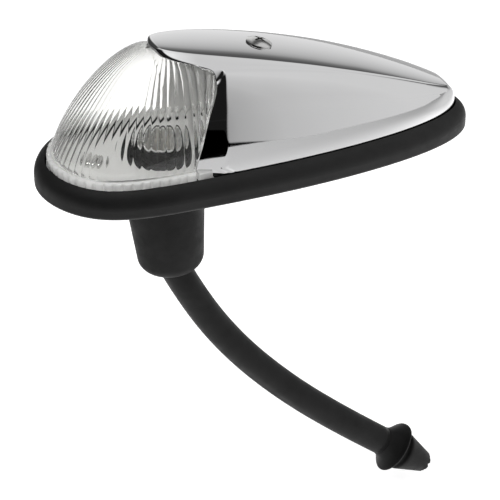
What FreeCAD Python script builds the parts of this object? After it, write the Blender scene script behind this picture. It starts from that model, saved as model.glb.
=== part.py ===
import FreeCAD, Part
import math
import os

os.makedirs("parts", exist_ok=True)
V = FreeCAD.Vector

# Fender-top indicator lamp. +Z up, +X towards the tail, symmetric about y = 0.
# Origin on the mounting plane (underside of the rubber seal) at the boot axis.
# All dimensions in mm.

# plan outline of the rubber seal: poles of one half, front to tail
OUTLINE = [(-45.28, 0.0), (-45.28, 9.59), (-33.81, 31.6), (6.8, 30.73),
           (66.12, 28.47), (114.72, 14.53), (114.72, 0.0)]
SEAL_H = 9.97            # height of the bead
SEAL_TOP_R = 6.1         # rounding over the bead
SEAL_BOT_R = 1.1         # rounding at the foot
SEAL_FLOOR = 5.5         # level the base plate lies on
SEAL_BEAD = 3.9          # bead width, outside to inside

BASE_T = 2.0             # base plate thickness
BASE_TOP = SEAL_FLOOR + BASE_T
BASE_INSET = 4.5
NECK_BORE_R = 12.0       # hole in the base plate for the boot neck

STUD_X = (-24.5, 74.0)   # two mounting studs on the centre line
STUD_R = 2.5
STUD_DOWN = 11.0         # stud length below the mounting plane
STUD_COLLAR_R = 3.0      # collar pressed into the base plate
STUD_HEAD_R = 3.8
STUD_HEAD_H = 1.9
STUD_CLEAR_R = 4.1       # holes in the seal

COVER_INSET = 4.35       # cover's side wall against the seal outline
COVER_T = 1.8            # cover wall
COVER_TAIL = 110.2
DOME = 1.1               # crown of the spine panel between its creases
TAIL_R = 6.0             # rounding of the spine over the tail end
SCREW_X = 35.9
SCREW_R = 2.5
SCREW_HEAD_R = 4.6

# half width of the spine panel between its creases, along x
CREASE_X = [-4.6, -3.6, -2.3, 0.7, 3.7, 9.7, 15.7, 27.7, 45.7, 57.7, 69.7, 81.7, 93.7, 99.7, 105.7, 108.7, 110.0]
CREASE_S = [0.9, 3.0, 4.8, 6.9, 8.2, 9.9, 10.9, 12.0, 12.6, 12.6, 12.0, 10.75, 8.9, 7.65, 5.6, 3.2, 1.6]

LENS_INSET = 6.2         # lens wall against the seal outline
LENS_T = 2.4
LENS_FOOT = 11.5         # top of the lens flange
LENS_A, LENS_B = 1.813, 1.033      # nose profile exponents
LENS_P, LENS_Q = 1.855, 2.222      # arch exponents
LENS_TOP_X = -3.6
FLANGE_IN = 9.0          # inner edge of the lens flange
FLANGE_REAR = 12.0
GASKET_T = 0.8

BOOT_TOP_R = 15.6
BOOT_BOT_R = 11.7
BOOT_BOTTOM = -40.0
BOOT_FILLET = 5.0
BOOT_LEAN = 3.9          # degrees, towards the tail
LIP_R = 13.2
LIP_T = 1.4
COLLAR_R = 11.0          # upright collar of the boot inside the lamp
COLLAR_TOP = 12.0
SOCKET_OR = 8.8
SOCKET_IR = 7.9
SOCKET_TOP = COLLAR_TOP + 0.3
SOCKET_BOTTOM = -20.0

TUBE_R = 5.6
TUBE_IR = 3.6
# centre line of the wire tube, from inside the boot to the grommet
ROUTE = [(2.0, 0.0, -37.2), (10.6, 0.0, -56.4), (26.3, 0.0, -81.4), (46.9, 0.0, -105.1),
         (70.6, 0.0, -126.9), (87.4, 0.0, -140.6)]
GROMMET_NECK = 8.0       # from the tube's end to the flange rim
GROMMET_RIM_R = 10.4
GROMMET_GROOVE_R = 6.9
GROMMET_CONE_R = 7.9
GROMMET_TIP_R = 4.0
GROMMET_LEN = 25.5


def spline_half():
    c = Part.BSplineCurve()
    poles = [V(x, y, 0) for x, y in OUTLINE]
    c.buildFromPolesMultsKnots(poles, [4, 1, 1, 1, 4], [0.0, 0.25, 0.5, 0.75, 1.0], False, 3)
    return c


HALF = spline_half()


def half_points(inset, n=240):
    pts = []
    for i in range(n + 1):
        u = i / float(n)
        p = HALF.value(u)
        t = HALF.tangent(u)[0]
        pts.append((p.x + t.y * inset, p.y - t.x * inset))
    return pts


def inset_wire(inset, z, count=40):
    if inset == 0:
        c1 = HALF.copy()
        e1 = c1.toShape()
        m = e1.mirror(V(0, 0, 0), V(0, 1, 0))
        w = Part.Wire(Part.__sortEdges__([e1, m]))
    else:
        up = []
        for i in range(count + 1):
            u = i / float(count)
            p, t = HALF.value(u), HALF.tangent(u)[0]
            up.append(V(p.x + t.y * inset, p.y - t.x * inset, 0))
        up[0].y = 0.0
        up[-1].y = 0.0
        loop = up + [V(p.x, -p.y, 0) for p in reversed(up[1:-1])]
        a = Part.BSplineCurve()
        a.interpolate(Points=loop, PeriodicFlag=True)
        w = Part.Wire([a.toShape()])
    w = w.copy()
    w.translate(V(0, 0, z))
    return w


def slab(inset, z0, z1):
    f = Part.Face(inset_wire(inset, z0))
    return f.extrude(V(0, 0, z1 - z0))


def table(xs, ys, x):
    # monotone piecewise cubic through the table
    if x <= xs[0]:
        return ys[0]
    if x >= xs[-1]:
        return ys[-1]
    i = 0
    while xs[i + 1] < x:
        i += 1
    n = len(xs)
    d = [(ys[k + 1] - ys[k]) / (xs[k + 1] - xs[k]) for k in range(n - 1)]

    def slope(k):
        if k == 0:
            return d[0]
        if k == n - 1:
            return d[-1]
        if d[k - 1] * d[k] <= 0:
            return 0.0
        return 2 * d[k - 1] * d[k] / (d[k - 1] + d[k])
    h = xs[i + 1] - xs[i]
    t = (x - xs[i]) / h
    m0, m1 = slope(i) * h, slope(i + 1) * h
    return ((2 * t ** 3 - 3 * t ** 2 + 1) * ys[i] + (t ** 3 - 2 * t ** 2 + t) * m0
            + (-2 * t ** 3 + 3 * t ** 2) * ys[i + 1] + (t ** 3 - t ** 2) * m1)


def crease_z(x):
    m = x / 30.0
    return 50.2 - 6.0 * m - 2.35 * m * (m - 1) / 2.0 - 0.4 * m * (m - 1) * (m - 2) / 6.0


def tail_drop(x):
    # the spine rounds over at the tail end
    d = min(max(0.0, x - (COVER_TAIL + 0.4 - TAIL_R)), TAIL_R)
    return TAIL_R - math.sqrt(TAIL_R ** 2 - d * d)


def crease_s(x):
    return table(CREASE_X, CREASE_S, x)


def cove(x):
    # depth of the cove below the crease, fading towards the tail
    t = min(1.0, max(0.0, (x - 10.0) / 50.0))
    return 2.3 * (1 - t) ** 1.2 + 0.3


def width_at(pts, x):
    best = 0.0
    for (x0, y0), (x1, y1) in zip(pts, pts[1:]):
        if x0 <= x <= x1 and x1 > x0:
            best = max(best, y0 + (y1 - y0) * (x - x0) / (x1 - x0))
    return best


def cover_wire(x, pts, t, z0):
    # closed section of the cover at x, taken in by t from the outside
    wb = width_at(pts, x)
    s = max(crease_s(x) - 0.9 * t, 0.25)
    zc = crease_z(x) - tail_drop(x) - t
    kd = cove(x)
    crown = DOME * min(1.0, s / 12.0)
    ky = min(s + 1.4 * kd, s + 0.5 * max(wb - s, 0.05))
    kz = zc - kd
    h = kz - z0
    side = [(wb, z0), (wb, z0 + 0.58 * h), (ky + 0.60 * (wb - ky), kz - 0.06 * h), (ky, kz)]
    cov = [(ky, kz), (s + 0.35 * (ky - s), kz + 0.28 * kd), (s, zc)]
    top = [(s, zc), (0.45 * s, zc + crown * 1.333), (-0.45 * s, zc + crown * 1.333), (-s, zc)]

    def bez(p):
        b = Part.BezierCurve()
        b.setPoles([V(x, y, z) for y, z in p])
        return b.toShape()
    mir = lambda p: [(-y, z) for y, z in reversed(p)]
    edges = [Part.LineSegment(V(x, -wb, z0), V(x, wb, z0)).toShape(),
             bez(side), bez(cov), bez(top), bez(mir(cov)), bez(mir(side))]
    return Part.Wire(edges)


def prism_xz(points, y0=-60.0, y1=60.0):
    w = Part.makePolygon([V(x, y0, z) for x, z in points] + [V(points[0][0], y0, points[0][1])])
    return Part.Face(w).extrude(V(0, y1 - y0, 0))


def biggest(shape):
    sol = sorted(shape.Solids, key=lambda s: -s.Volume)
    return sol[0]


def opening(dx, dz):
    # side profile of the lens opening in the cover, shifted by (dx, dz)
    edge = [(6.3, 4.0), (6.3, 9.0), (8.2, 14.0), (14.6, 31.5), (16.2, 36.0), (16.6, 38.6), (16.2, 40.6), (14.9, 42.0),
            (12.5, 43.0), (8.0, 44.4), (3.0, 46.0), (0.0, 47.3), (-2.0, 48.6), (-3.6, 50.0), (-5.2, 52.0)]
    return [(-70.0, 4.0)] + [(x + dx, z + dz) for x, z in edge] + [(-70.0, 60.0)]


NODES = {}


def put(name, shape):
    NODES[name] = shape
    b = shape.BoundBox
    print("%-18s valid %s solids %d vol %.1f  x %.2f..%.2f y %.2f..%.2f z %.2f..%.2f" % (
        name, shape.isValid(), len(shape.Solids), shape.Volume, b.XMin, b.XMax, b.YMin, b.YMax, b.ZMin, b.ZMax))


# rubber seal between the lamp and the fender
pad = slab(0, 0, SEAL_H)
top_edges = [e for e in pad.Edges if abs(e.BoundBox.ZMin - SEAL_H) < 1e-6]
bot_edges = [e for e in pad.Edges if abs(e.BoundBox.ZMax) < 1e-6]
pad = pad.makeFillet(SEAL_TOP_R, top_edges)
bot_edges = [e for e in pad.Edges if abs(e.BoundBox.ZMax) < 1e-6]
pad = pad.makeFillet(SEAL_BOT_R, bot_edges)
seal = pad.cut(slab(SEAL_BEAD, SEAL_FLOOR, 30.0))
seal = seal.cut(Part.makeCylinder(BOOT_TOP_R + 0.9, 40, V(0, 0, -20)))
for sx in STUD_X:
    seal = seal.cut(Part.makeCylinder(STUD_CLEAR_R, 40, V(sx, 0, -20)))
put("fender_seal", biggest(seal))

# cast base plate
base = slab(BASE_INSET, SEAL_FLOOR, BASE_TOP)
base = base.cut(Part.makeCylinder(NECK_BORE_R, 40, V(0, 0, -20)))
for sx in STUD_X:
    base = base.cut(Part.makeCylinder(STUD_COLLAR_R, 40, V(sx, 0, -20)))
base = base.cut(Part.makeCylinder(3.0, 40, V(SCREW_X, 0, -20)))
put("base_plate", biggest(base))

# mounting studs, peened head on the base plate
studs = []
for sx in STUD_X:
    shank = Part.makeCylinder(STUD_R, SEAL_FLOOR + STUD_DOWN - 0.6, V(sx, 0, -STUD_DOWN + 0.6))
    collar = Part.makeCylinder(STUD_COLLAR_R, BASE_T, V(sx, 0, SEAL_FLOOR))
    lead = Part.makeCone(STUD_R - 0.6, STUD_R, 0.6, V(sx, 0, -STUD_DOWN))
    head = Part.makeCylinder(STUD_HEAD_R, STUD_HEAD_H, V(sx, 0, BASE_TOP))
    rim = [e for e in head.Edges if abs(e.BoundBox.ZMin - BASE_TOP - STUD_HEAD_H) < 1e-6 and abs(e.BoundBox.ZMax - BASE_TOP - STUD_HEAD_H) < 1e-6]
    head = head.makeFillet(1.1, rim)
    studs.append(shank.fuse(lead).fuse(collar).fuse(head).removeSplitter())
put("mounting_studs", Part.makeCompound([biggest(s) for s in studs]))

# chromed cover
outer_pts = half_points(COVER_INSET)
inner_pts = half_points(COVER_INSET + COVER_T)
xs_out = [-4.3, -3.7, -2.6, -0.8, 1.6, 5.0, 9.5, 15.0, 22.0, 31.0, 42.0, 54.0, 66.0, 77.0, 86.0, 93.0, 98.5, 102.7, 105.4, 107.2, 108.5, 109.5, 110.2]
xs_in = [-1.6, 0.6, 3.6, 8.0, 14.0, 22.0, 31.0, 42.0, 54.0, 66.0, 77.0, 86.0, 93.0, 98.5, 102.0, 105.0, 107.0, 108.2]
shell_out = Part.makeLoft([cover_wire(x, outer_pts, 0.0, BASE_TOP) for x in xs_out], True, False)
shell_in = Part.makeLoft([cover_wire(x, inner_pts, COVER_T, BASE_TOP - 2.0) for x in xs_in], True, False)
print("cover lofts", shell_out.isValid(), shell_in.isValid(), shell_out.Volume, shell_in.Volume)
cover = shell_out.cut(shell_in)
cover = cover.cut(prism_xz(opening(0, 0)))
cover = biggest(cover)

# lens flange ring, a closed strip around the front
ring = slab(COVER_INSET, BASE_TOP + GASKET_T, LENS_FOOT).cut(slab(FLANGE_IN, 0, 30.0))
ring = ring.cut(Part.makeBox(200, 200, 60, V(FLANGE_REAR, -100, -10)))
ring_clear = slab(COVER_INSET - 1.0, BASE_TOP - 1.0, LENS_FOOT + 0.08).cut(slab(FLANGE_IN + 0.1, 0, 30.0))
ring_clear = ring_clear.cut(Part.makeBox(200, 200, 60, V(FLANGE_REAR + 0.1, -100, -10)))
cover = biggest(cover.cut(ring_clear))

# seat for the raised countersunk screw, square to the crown
slope = (crease_z(SCREW_X + 0.5) - crease_z(SCREW_X - 0.5))
tilt = -math.degrees(math.atan(slope))
crown_z = crease_z(SCREW_X) + DOME


def along_screw(shape):
    # local z up along the screw, local origin on the crown
    s = shape.copy()
    s.rotate(V(0, 0, 0), V(0, 1, 0), tilt)
    s.translate(V(SCREW_X, 0, crown_z))
    return s


HEAD_UNDER = 1.9
cover = cover.cut(along_screw(Part.makeCylinder(SCREW_R + 0.25, 30, V(0, 0, -20))))
cover = cover.cut(along_screw(Part.makeCone(SCREW_R + 0.03, SCREW_HEAD_R + 0.03, HEAD_UNDER - 0.25, V(0, 0, -HEAD_UNDER + 0.35))))
cover = cover.cut(along_screw(Part.makeCylinder(SCREW_HEAD_R + 0.03, 5, V(0, 0, 0.1))))
put("chrome_cover", biggest(cover))


# clear lens
def lens_wire(x, inset, t, z0):
    pts = half_points(inset)
    xn = pts[0][0]
    wb = width_at(pts, x)
    zb = LENS_FOOT
    top_x = LENS_TOP_X
    z_top = crease_z(LENS_TOP_X) - 1.2 - t
    if x < top_x:
        zt = zb + (z_top - zb) * max(0.0, 1 - ((top_x - x) / (top_x - xn)) ** LENS_A) ** (1 / LENS_B)
        s = 0.0
    else:
        r = min(1.0, (x - top_x) / 6.0)
        zt = crease_z(x) - 1.2 - 1.0 * r * r * (3 - 2 * r) - t
        s = max(crease_s(x) - 0.9 - 0.5 * t, 0.0) * min(1.0, 0.4 + 0.6 * r)
    near = []
    n = 12
    for i in range(n):
        th = math.radians(88.0) * i / (n - 1.0)
        y = s + (wb - s) * math.cos(th) ** (2 / LENS_P)
        z = zb + (zt - zb) * math.sin(th) ** (2 / LENS_Q)
        near.append((y, z))
    crown = zt + 0.002 * (zt - zb) + (0.4 * min(1.0, s / 6.0))
    ring_pts = [V(x, y, z) for y, z in near] + [V(x, 0, crown)] + [V(x, -y, z) for y, z in reversed(near)]
    c = Part.BSplineCurve()
    c.interpolate(Points=ring_pts)
    a, b = ring_pts[0], ring_pts[-1]
    lo_a, lo_b = V(x, a.y, z0), V(x, b.y, z0)
    return Part.Wire([Part.LineSegment(lo_b, lo_a).toShape(), Part.LineSegment(lo_a, a).toShape(), c.toShape(),
                      Part.LineSegment(b, lo_b).toShape()])


def lens_body(inset, t, z0):
    xn = half_points(inset)[0][0]
    steps = [0.25, 0.9, 2.0, 3.8, 6.4, 10.0, 15.0, 21.0, 28.0, 34.0]
    xs = [xn + d for d in steps if xn + d < -7.5] + [-5.6, -3.0, -0.6, 3.0, 8.0, 14.0, 22.0]
    return Part.makeLoft([lens_wire(x, inset, t, z0) for x in xs], True, False)


lens_out = lens_body(LENS_INSET, 0.0, BASE_TOP + GASKET_T)
lens_in = lens_body(LENS_INSET + LENS_T, LENS_T, BASE_TOP - 4.0)
print("lens lofts", lens_out.isValid(), lens_in.isValid(), lens_out.Volume, lens_in.Volume)
lens = lens_out.cut(lens_in)
lens = lens.fuse(ring.cut(lens_in.common(Part.makeBox(300, 300, 60, V(-150, -150, LENS_FOOT - 0.6)))))
lens = lens.common(prism_xz(opening(1.8, 0.6)))
lens = lens.fuse(ring)
lens = lens.cut(NODES["chrome_cover"])
put("lens", biggest(lens))

# rubber strip under the lens flange
strip = slab(COVER_INSET + 0.3, BASE_TOP, BASE_TOP + GASKET_T).cut(slab(FLANGE_IN - 0.3, 0, 30.0))
strip = strip.cut(Part.makeBox(200, 200, 60, V(FLANGE_REAR, -100, -10)))
put("lens_gasket", biggest(strip))

# pillar that takes the cover screw, riveted into the base plate
PILLAR_TOP = crown_z - COVER_T - 2.6
pillar = Part.makeCylinder(4.0, PILLAR_TOP - BASE_TOP, V(SCREW_X, 0, BASE_TOP))
pillar = pillar.fuse(Part.makeCylinder(3.0, BASE_T, V(SCREW_X, 0, SEAL_FLOOR))).removeSplitter()
bore_dir = along_screw(Part.makeCylinder(SCREW_R, 16, V(0, 0, -17)))
pillar = pillar.cut(bore_dir)
put("screw_pillar", biggest(pillar))

# raised countersunk cover screw with a cross recess
raise_h = 1.25
shank = Part.makeCylinder(SCREW_R, 16.0 - HEAD_UNDER + 0.35, V(0, 0, -16.0))
cone = Part.makeCone(SCREW_R, SCREW_HEAD_R, HEAD_UNDER - 0.25, V(0, 0, -HEAD_UNDER + 0.35))
band = Part.makeCylinder(SCREW_HEAD_R, 0.35, V(0, 0, 0.1))
sr = (SCREW_HEAD_R ** 2 + raise_h ** 2) / (2 * raise_h)
ball = Part.makeSphere(sr, V(0, 0, 0.45 + raise_h - sr))
cap = ball.common(Part.makeCylinder(SCREW_HEAD_R, 4, V(0, 0, 0.45)))
screw = shank.fuse(cone).fuse(band).fuse(cap).removeSplitter()
for ang in (0, 90):
    bar = Part.makeBox(4.6, 0.9, 3.0, V(-2.3, -0.45, 0.45 + raise_h - 1.5))
    bar.rotate(V(0, 0, 0), V(0, 0, 1), ang + 28)
    screw = screw.cut(bar)
put("cover_screw", biggest(along_screw(screw)))

# metal bulb socket with two bayonet slots
sock = Part.makeCylinder(SOCKET_OR, SOCKET_TOP - SOCKET_BOTTOM, V(0, 0, SOCKET_BOTTOM))
sock = sock.cut(Part.makeCylinder(SOCKET_IR, SOCKET_TOP - SOCKET_BOTTOM, V(0, 0, SOCKET_BOTTOM + 1.0)))
sock = sock.cut(Part.makeCylinder(2.2, 10, V(0, 0, SOCKET_BOTTOM - 1)))
slot = Part.makeBox(40, 2.4, 11.0, V(-20, -1.2, SOCKET_TOP - 11.0))
foot = Part.makeBox(20, 5.0, 2.4, V(0, -1.2, SOCKET_TOP - 11.0))
foot2 = foot.copy()
foot2.rotate(V(0, 0, 0), V(0, 0, 1), 180)
sock = sock.cut(slot).cut(foot).cut(foot2)
put("bulb_socket", biggest(sock))

# insulating carrier, contact plunger and bowed leaf spring inside the socket
carrier = Part.makeCylinder(SOCKET_IR - 0.25, 3.0, V(0, 0, -11.5)).cut(Part.makeCylinder(2.0, 10, V(0, 0, -15)))
put("contact_carrier", carrier)
plunger = Part.makeCylinder(2.0, 11.0, V(0, 0, -19.4 - 0.1)).fuse(Part.makeCylinder(3.1, 1.2, V(0, 0, -8.5))).fuse(
    Part.makeSphere(2.0, V(0, 0, -7.3)).common(Part.makeCylinder(3, 3, V(0, 0, -7.3)))).removeSplitter()
put("contact_plunger", biggest(plunger))
SPRING_T = 0.5
SPRING_W = 8.0
lo, hi = SOCKET_BOTTOM + 1.05, -11.55
outer_arc = Part.Arc(V(-5.9, 0, lo), V(0, 0, hi), V(5.9, 0, lo)).toShape()
inner_arc = Part.Arc(V(5.3, 0, lo), V(0, 0, hi - SPRING_T), V(-5.3, 0, lo)).toShape()
bow = Part.Wire([outer_arc, Part.LineSegment(V(5.9, 0, lo), V(5.3, 0, lo)).toShape(), inner_arc,
                 Part.LineSegment(V(-5.3, 0, lo), V(-5.9, 0, lo)).toShape()])
spring = Part.Face(bow).extrude(V(0, SPRING_W, 0))
spring.translate(V(0, -SPRING_W / 2.0, 0))
spring = spring.cut(Part.makeCylinder(2.3, 30, V(0, 0, -30)))
put("socket_spring", biggest(spring))

# wire terminal below the socket
tab = Part.makeCylinder(2.0, 1.0, V(0, 0, -20.6)).fuse(Part.makeBox(2.0, 5.0, 8.0, V(-1.0, -2.5, -28.6)).common(
    Part.makeBox(0.8, 5.0, 8.0, V(-0.4, -2.5, -28.6)))).removeSplitter()
put("feed_terminal", biggest(tab))

# earth blade on the underside of the socket
blade = Part.makeBox(0.8, 4.0, 7.0, V(4.9, -2.0, SOCKET_BOTTOM - 7.0)).fuse(
    Part.makeBox(2.6, 4.0, 0.8, V(4.2, -2.0, SOCKET_BOTTOM - 0.8))).removeSplitter()
put("earth_blade", biggest(blade))

# rubber boot: lip and neck on the vertical axis, body leaning to the tail
cone_h = -BOOT_BOTTOM + SEAL_FLOOR
body = Part.makeCone(BOOT_BOT_R, BOOT_TOP_R, cone_h, V(0, 0, BOOT_BOTTOM))
low = [e for e in body.Edges if abs(e.BoundBox.ZMax - BOOT_BOTTOM) < 1e-6]
body = body.makeFillet(BOOT_FILLET, low)
body.rotate(V(0, 0, 0), V(0, 1, 0), -BOOT_LEAN)
body = body.cut(Part.makeBox(100, 100, 40, V(-50, -50, SEAL_FLOOR)))
body = body.fuse(Part.makeCylinder(BOOT_TOP_R, 2.0, V(0, 0, SEAL_FLOOR - 2.0)))
neck = Part.makeCylinder(NECK_BORE_R, BASE_T, V(0, 0, SEAL_FLOOR))
lip = Part.makeCylinder(LIP_R, LIP_T, V(0, 0, BASE_TOP))
lip = lip.makeFillet(0.9, [e for e in lip.Edges if abs(e.BoundBox.ZMin - BASE_TOP - LIP_T) < 1e-6 and abs(e.BoundBox.ZMax - BASE_TOP - LIP_T) < 1e-6])
collar = Part.makeCylinder(COLLAR_R, COLLAR_TOP - BASE_TOP, V(0, 0, BASE_TOP))
collar = collar.makeFillet(0.8, [e for e in collar.Edges if abs(e.BoundBox.ZMin - COLLAR_TOP) < 1e-6 and abs(e.BoundBox.ZMax - COLLAR_TOP) < 1e-6])
boot = body.fuse(neck).fuse(lip).fuse(collar)
boot = boot.cut(Part.makeCylinder(SOCKET_OR, 60, V(0, 0, SOCKET_BOTTOM)))
hollow = Part.makeCone(6.8, 8.6, 17.0, V(0, 0, -35.5))
hollow.rotate(V(0, 0, 0), V(0, 1, 0), -BOOT_LEAN)
hollow = hollow.common(Part.makeBox(60, 60, 60, V(-30, -30, SOCKET_BOTTOM - 60)))
boot = boot.cut(hollow)


# free wire tube: straight runs joined by tangent arcs
def tube_edges(route):
    pts = [V(*p) for p in route]
    n = len(pts)
    runs = [(pts[i + 1] - pts[i]).Length for i in range(n - 1)]
    edges = []
    start = pts[0]
    radii = []
    for i in range(1, n - 1):
        a = (pts[i - 1] - pts[i]).normalize()
        b = (pts[i + 1] - pts[i]).normalize()
        turn = math.pi - a.getAngle(b)
        r = 0.45 * min(runs[i - 1], runs[i]) / math.tan(turn / 2.0)
        t = r * math.tan(turn / 2.0)
        p0 = pts[i] + a * t
        p1 = pts[i] + b * t
        c = pts[i] + (a + b).normalize() * (r / math.cos(turn / 2.0))
        mid = c + (pts[i] - c).normalize() * r
        edges.append(Part.LineSegment(start, p0).toShape())
        edges.append(Part.Arc(p0, mid, p1).toShape())
        start = p1
        radii.append(r)
    edges.append(Part.LineSegment(start, pts[-1]).toShape())
    print("tube runs", [round(r, 2) for r in runs], "radii", [round(r, 1) for r in radii])
    return edges


edges = tube_edges(ROUTE)
path = Part.Wire(edges)
d0 = (V(*ROUTE[1]) - V(*ROUTE[0])).normalize()


def sweep(r):
    prof = Part.Wire([Part.makeCircle(r, V(*ROUTE[0]), d0)])
    return path.makePipeShell([prof], True, False)


tube_full = sweep(TUBE_R)
tube = tube_full.cut(sweep(TUBE_IR))
print("tube length %.2f volume %.1f expected %.1f" % (path.Length, tube.Volume, path.Length * math.pi * (TUBE_R ** 2 - TUBE_IR ** 2)))
put("wire_tube", biggest(tube))
boot = boot.cut(tube_full)
put("socket_boot", biggest(boot))

# grommet on the tube's end: neck, flared rim, panel groove and conical tip with an open bore
p_end = V(*ROUTE[-1])
d_end = (V(*ROUTE[-1]) - V(*ROUTE[-2])).normalize()
prof = [(TUBE_IR, 0.0), (TUBE_R, 0.0), (TUBE_R + 0.5, 2.0), (TUBE_R + 1.6, 4.2), (GROMMET_RIM_R - 1.0, GROMMET_NECK - 1.7), (GROMMET_RIM_R, GROMMET_NECK - 0.9),
        (GROMMET_RIM_R, GROMMET_NECK), (GROMMET_GROOVE_R, GROMMET_NECK + 0.3), (GROMMET_GROOVE_R, GROMMET_NECK + 2.0), (GROMMET_CONE_R, GROMMET_NECK + 2.3),
        (GROMMET_CONE_R, GROMMET_NECK + 3.6), (GROMMET_TIP_R, GROMMET_LEN), (GROMMET_TIP_R - 1.1, GROMMET_LEN), (TUBE_IR - 0.5, GROMMET_NECK + 4.0)]
poly = Part.makePolygon([V(r, 0, h) for r, h in prof] + [V(prof[0][0], 0, prof[0][1])])
grommet = Part.Face(poly).revolve(V(0, 0, 0), V(0, 0, 1), 360)
rot = FreeCAD.Rotation(V(0, 0, 1), d_end)
grommet.Placement = FreeCAD.Placement(p_end, rot)
put("end_grommet", grommet.Solids[0] if grommet.Solids else grommet)

for name, shape in NODES.items():
    shape.exportStep("parts/%s.step" % name)
print(len(NODES), "nodes")
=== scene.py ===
import math

import bpy
import numpy as np
from mathutils import Matrix, Vector


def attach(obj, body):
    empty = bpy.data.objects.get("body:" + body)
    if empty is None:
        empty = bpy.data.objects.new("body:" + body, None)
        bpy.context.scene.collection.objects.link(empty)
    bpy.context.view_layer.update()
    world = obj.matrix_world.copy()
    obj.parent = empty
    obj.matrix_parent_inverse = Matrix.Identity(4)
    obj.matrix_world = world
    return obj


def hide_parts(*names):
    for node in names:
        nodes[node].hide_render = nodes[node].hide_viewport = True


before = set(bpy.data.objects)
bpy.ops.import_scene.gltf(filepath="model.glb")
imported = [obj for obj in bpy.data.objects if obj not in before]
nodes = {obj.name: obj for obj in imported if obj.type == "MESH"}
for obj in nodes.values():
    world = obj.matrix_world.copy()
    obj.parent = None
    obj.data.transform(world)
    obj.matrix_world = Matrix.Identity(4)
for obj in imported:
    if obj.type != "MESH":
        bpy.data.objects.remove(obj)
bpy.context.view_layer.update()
MM = 0.001
bpy.context.scene.view_settings.view_transform = "Standard"

# ---------------------------------------------------------------- dimensions, mm
OUTLINE = [(-45.28, 0.0), (-45.28, 9.59), (-33.81, 31.6), (6.8, 30.73), (66.12, 28.47), (114.72, 14.53), (114.72, 0.0)]
KNOTS = [0, 0, 0, 0, 0.25, 0.5, 0.75, 1, 1, 1, 1]
SEAL_H, SEAL_TOP_R, SEAL_BOT_R, SEAL_FLOOR, SEAL_BEAD = 9.97, 6.1, 1.1, 5.5, 3.9
BASE_TOP = 7.5
COVER_INSET, COVER_T, DOME = 4.35, 1.8, 1.1
COVER_TAIL, TAIL_R = 110.2, 6.0
CREASE_X = [-4.6, -3.6, -2.3, 0.7, 3.7, 9.7, 15.7, 27.7, 45.7, 57.7, 69.7, 81.7, 93.7, 99.7, 105.7, 108.7, 110.0]
CREASE_S = [0.9, 3.0, 4.8, 6.9, 8.2, 9.9, 10.9, 12.0, 12.6, 12.6, 12.0, 10.75, 8.9, 7.65, 5.6, 3.2, 1.6]
LENS_INSET, LENS_FOOT = 6.2, 11.5
LENS_A, LENS_B, LENS_P, LENS_Q, LENS_TOP_X = 1.813, 1.033, 1.855, 2.222, -3.6
TUBE_R, TUBE_IR = 5.6, 3.6
ROUTE = [(0.002, 0.0, -0.0372), (0.0106, 0.0, -0.0564), (0.0263, 0.0, -0.0814), (0.0469, 0.0, -0.1051),
         (0.0706, 0.0, -0.1269), (0.0874, 0.0, -0.1406)]
FLUTE = 3.15             # pitch of the lens flutes along the foot
LEAN = -1.0              # the side flutes lean forward by this over the lens's height
FLOOR_Z = -0.1635


# ---------------------------------------------------------------- surface formulas
def basis(t, i, k):
    if k == 0:
        last = KNOTS[i + 1] == 1 and KNOTS[i] < 1
        return np.where((t >= KNOTS[i]) & ((t < KNOTS[i + 1]) | (last & (t <= 1))), 1.0, 0.0)
    a = KNOTS[i + k] - KNOTS[i]
    b = KNOTS[i + k + 1] - KNOTS[i + 1]
    out = 0.0
    if a > 0:
        out = out + (t - KNOTS[i]) / a * basis(t, i, k - 1)
    if b > 0:
        out = out + (KNOTS[i + k + 1] - t) / b * basis(t, i + 1, k - 1)
    return out


T_DENSE = np.linspace(0, 1, 6001)
HX = sum(basis(T_DENSE, i, 3) * p[0] for i, p in enumerate(OUTLINE))
HY = sum(basis(T_DENSE, i, 3) * p[1] for i, p in enumerate(OUTLINE))
TX, TY = np.gradient(HX, T_DENSE), np.gradient(HY, T_DENSE)
TN = np.hypot(TX, TY)
TX, TY = TX / TN, TY / TN
TX[0], TY[0], TX[-1], TY[-1] = 0, 1, 0, -1


def inset_half(d):
    return HX + TY * d, HY - TX * d


def width_of(d):
    x, y = inset_half(d)
    return lambda q: np.interp(q, x, np.maximum(y, 0.0), left=0.0, right=0.0)


def mono(xs, ys, q):
    xs, ys = np.array(xs, float), np.array(ys, float)
    h = np.diff(xs)
    d = np.diff(ys) / h
    m = np.zeros(len(xs))
    m[0], m[-1] = d[0], d[-1]
    for k in range(1, len(xs) - 1):
        if d[k - 1] * d[k] > 0:
            m[k] = 2 * d[k - 1] * d[k] / (d[k - 1] + d[k])
    q = np.clip(q, xs[0], xs[-1])
    i = np.clip(np.searchsorted(xs, q) - 1, 0, len(xs) - 2)
    t = (q - xs[i]) / h[i]
    return ((2 * t ** 3 - 3 * t ** 2 + 1) * ys[i] + (t ** 3 - 2 * t ** 2 + t) * m[i] * h[i]
            + (-2 * t ** 3 + 3 * t ** 2) * ys[i + 1] + (t ** 3 - t ** 2) * m[i + 1] * h[i])


# the spine's half width, with the joints of the table smoothed out behind the brow
CS_X = np.linspace(-6, 112, 4721)
CS_Y = mono(CREASE_X, CREASE_S, CS_X)
_k = np.exp(-0.5 * (np.arange(-160, 161) / 60.0) ** 2)
_pad = np.concatenate([np.full(160, CS_Y[0]), CS_Y, np.full(160, CS_Y[-1])])
_soft = np.convolve(_pad, _k / _k.sum(), "valid")
_w = np.clip((CS_X - 2) / 12, 0, 1) * np.clip((104 - CS_X) / 14, 0, 1)
CS_Y = CS_Y * (1 - _w) + _soft * _w


def tail_drop(x):
    d = np.clip(np.asarray(x, float) - (COVER_TAIL + 0.4 - TAIL_R), 0, TAIL_R)
    return TAIL_R - np.sqrt(np.maximum(TAIL_R ** 2 - d * d, 0))


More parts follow.
